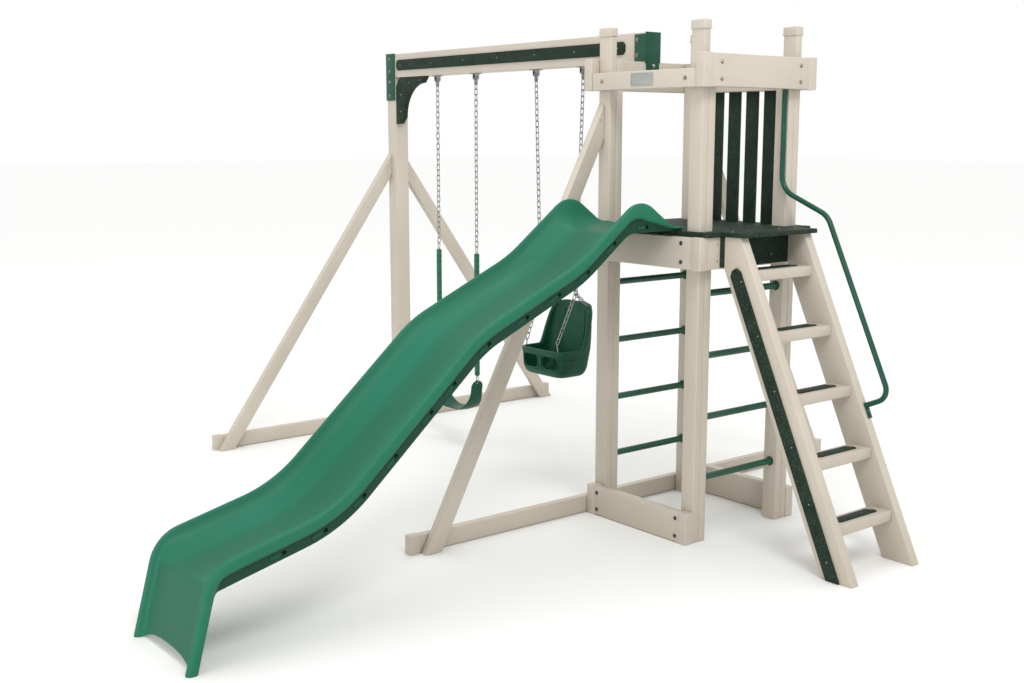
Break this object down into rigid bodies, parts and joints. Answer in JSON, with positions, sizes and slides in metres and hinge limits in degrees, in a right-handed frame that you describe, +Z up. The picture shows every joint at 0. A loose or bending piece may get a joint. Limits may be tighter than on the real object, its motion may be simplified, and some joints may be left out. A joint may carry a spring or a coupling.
{
  "type": "play set",
  "caption": "Vinyl-clad outdoor play set: a roofless climbing tower with pipe rungs, a ladder with a handrail, a wave slide, and a beam with a belt swing and a toddler bucket swing.",
  "frame": {"origin": "on the ground, under the middle of the set's bounding box", "axes": "+Z up, +X along the swing beam from the far post towards the ladder, +Y away from the slide's exit"},
  "size_m": [4.068, 4.513, 2.504],
  "materials": {
    "vinyl_sleeve": "smooth PVC sleeve, slight sheen",
    "vinyl_cap": "moulded PVC cap, slight sheen",
    "speckled_board": "recycled plastic lumber, dark green with pale flecks",
    "green_steel": "green powder coat, satin",
    "slide_plastic": "rotomoulded polyethylene, satin",
    "seat_plastic": "moulded polyethylene, satin",
    "sleeve_plastic": "plastisol dipped chain",
    "zinc_steel": "zinc plated"
  },
  "bodies": {
    "frame": {"back_slats": "speckled_board", "base_board_back": "vinyl_sleeve", "base_board_front": "vinyl_sleeve", "base_rail_far": "vinyl_sleeve", "base_rail_tower": "vinyl_sleeve", "beam_bracket_far": "green_steel", "beam_bracket_near": "green_steel", "beam_gusset": "speckled_board", "beam_strip_back": "speckled_board", "beam_strip_front": "speckled_board", "board_end_caps": "vinyl_cap", "carriage_bolts": "zinc_steel", "deck_boards": "speckled_board", "deck_joists": "vinyl_sleeve", "deck_rim_back": "vinyl_sleeve", "deck_rim_front": "vinyl_sleeve", "deck_rim_left": "vinyl_sleeve", "deck_rim_right": "vinyl_sleeve", "far_brace_back": "vinyl_sleeve", "far_brace_front": "vinyl_sleeve", "far_post": "vinyl_sleeve", "handrail": "green_steel", "ladder_header": "speckled_board", "ladder_stringer_back": "vinyl_sleeve", "ladder_stringer_front": "vinyl_sleeve", "ladder_tread_1": "vinyl_sleeve", "ladder_tread_2": "vinyl_sleeve", "ladder_tread_3": "vinyl_sleeve", "ladder_tread_4": "vinyl_sleeve", "ladder_tread_5": "vinyl_sleeve", "post_back_left": "vinyl_sleeve", "post_back_right": "vinyl_sleeve", "post_caps": "vinyl_cap", "post_front_left": "vinyl_sleeve", "post_front_right": "vinyl_sleeve", "post_strips": "vinyl_sleeve", "rail_end_caps": "vinyl_cap", "rungs_left": "green_steel", "rungs_right": "green_steel", "slat_rail": "vinyl_sleeve", "stringer_strip": "speckled_board", "swing_beam": "vinyl_sleeve", "swing_hangers": "zinc_steel", "top_rail_back": "vinyl_sleeve", "top_rail_front": "vinyl_sleeve", "top_rail_left": "vinyl_sleeve", "top_rail_right": "vinyl_sleeve", "top_tread": "speckled_board", "tower_brace_back": "vinyl_sleeve", "tower_brace_front": "vinyl_sleeve", "tread_grips": "speckled_board", "wave_slide": "slide_plastic"},
    "belt_swing": {"belt_hooks": "zinc_steel", "belt_chains": "zinc_steel", "belt_sleeves": "sleeve_plastic"},
    "belt_seat": {"belt_seat": "seat_plastic"},
    "toddler_swing": {"toddler_hooks": "zinc_steel", "toddler_chains": "zinc_steel"},
    "toddler_seat": {"toddler_seat": "seat_plastic", "toddler_branch_chains": "zinc_steel"}
  },
  "joints": [
    {"name": "belt_swing_hinge", "type": "hinge", "parent": "frame", "child": "belt_swing", "pos_m": [-1.271, 0.7045, 2.322], "axis": [1, 0, 0], "range_deg": [-50, 50]},
    {"name": "belt_seat_hinge", "type": "hinge", "parent": "belt_swing", "child": "belt_seat", "pos_m": [-1.271, 0.7045, 0.409], "axis": [1, 0, 0], "range_deg": [-30, 30]},
    {"name": "toddler_swing_hinge", "type": "hinge", "parent": "frame", "child": "toddler_swing", "pos_m": [-0.284, 0.7045, 2.322], "axis": [1, 0, 0], "range_deg": [-50, 50]},
    {"name": "toddler_seat_hinge", "type": "hinge", "parent": "toddler_swing", "child": "toddler_seat", "pos_m": [-0.284, 0.7045, 1.096], "axis": [1, 0, 0], "range_deg": [-20, 20]}
  ]
}
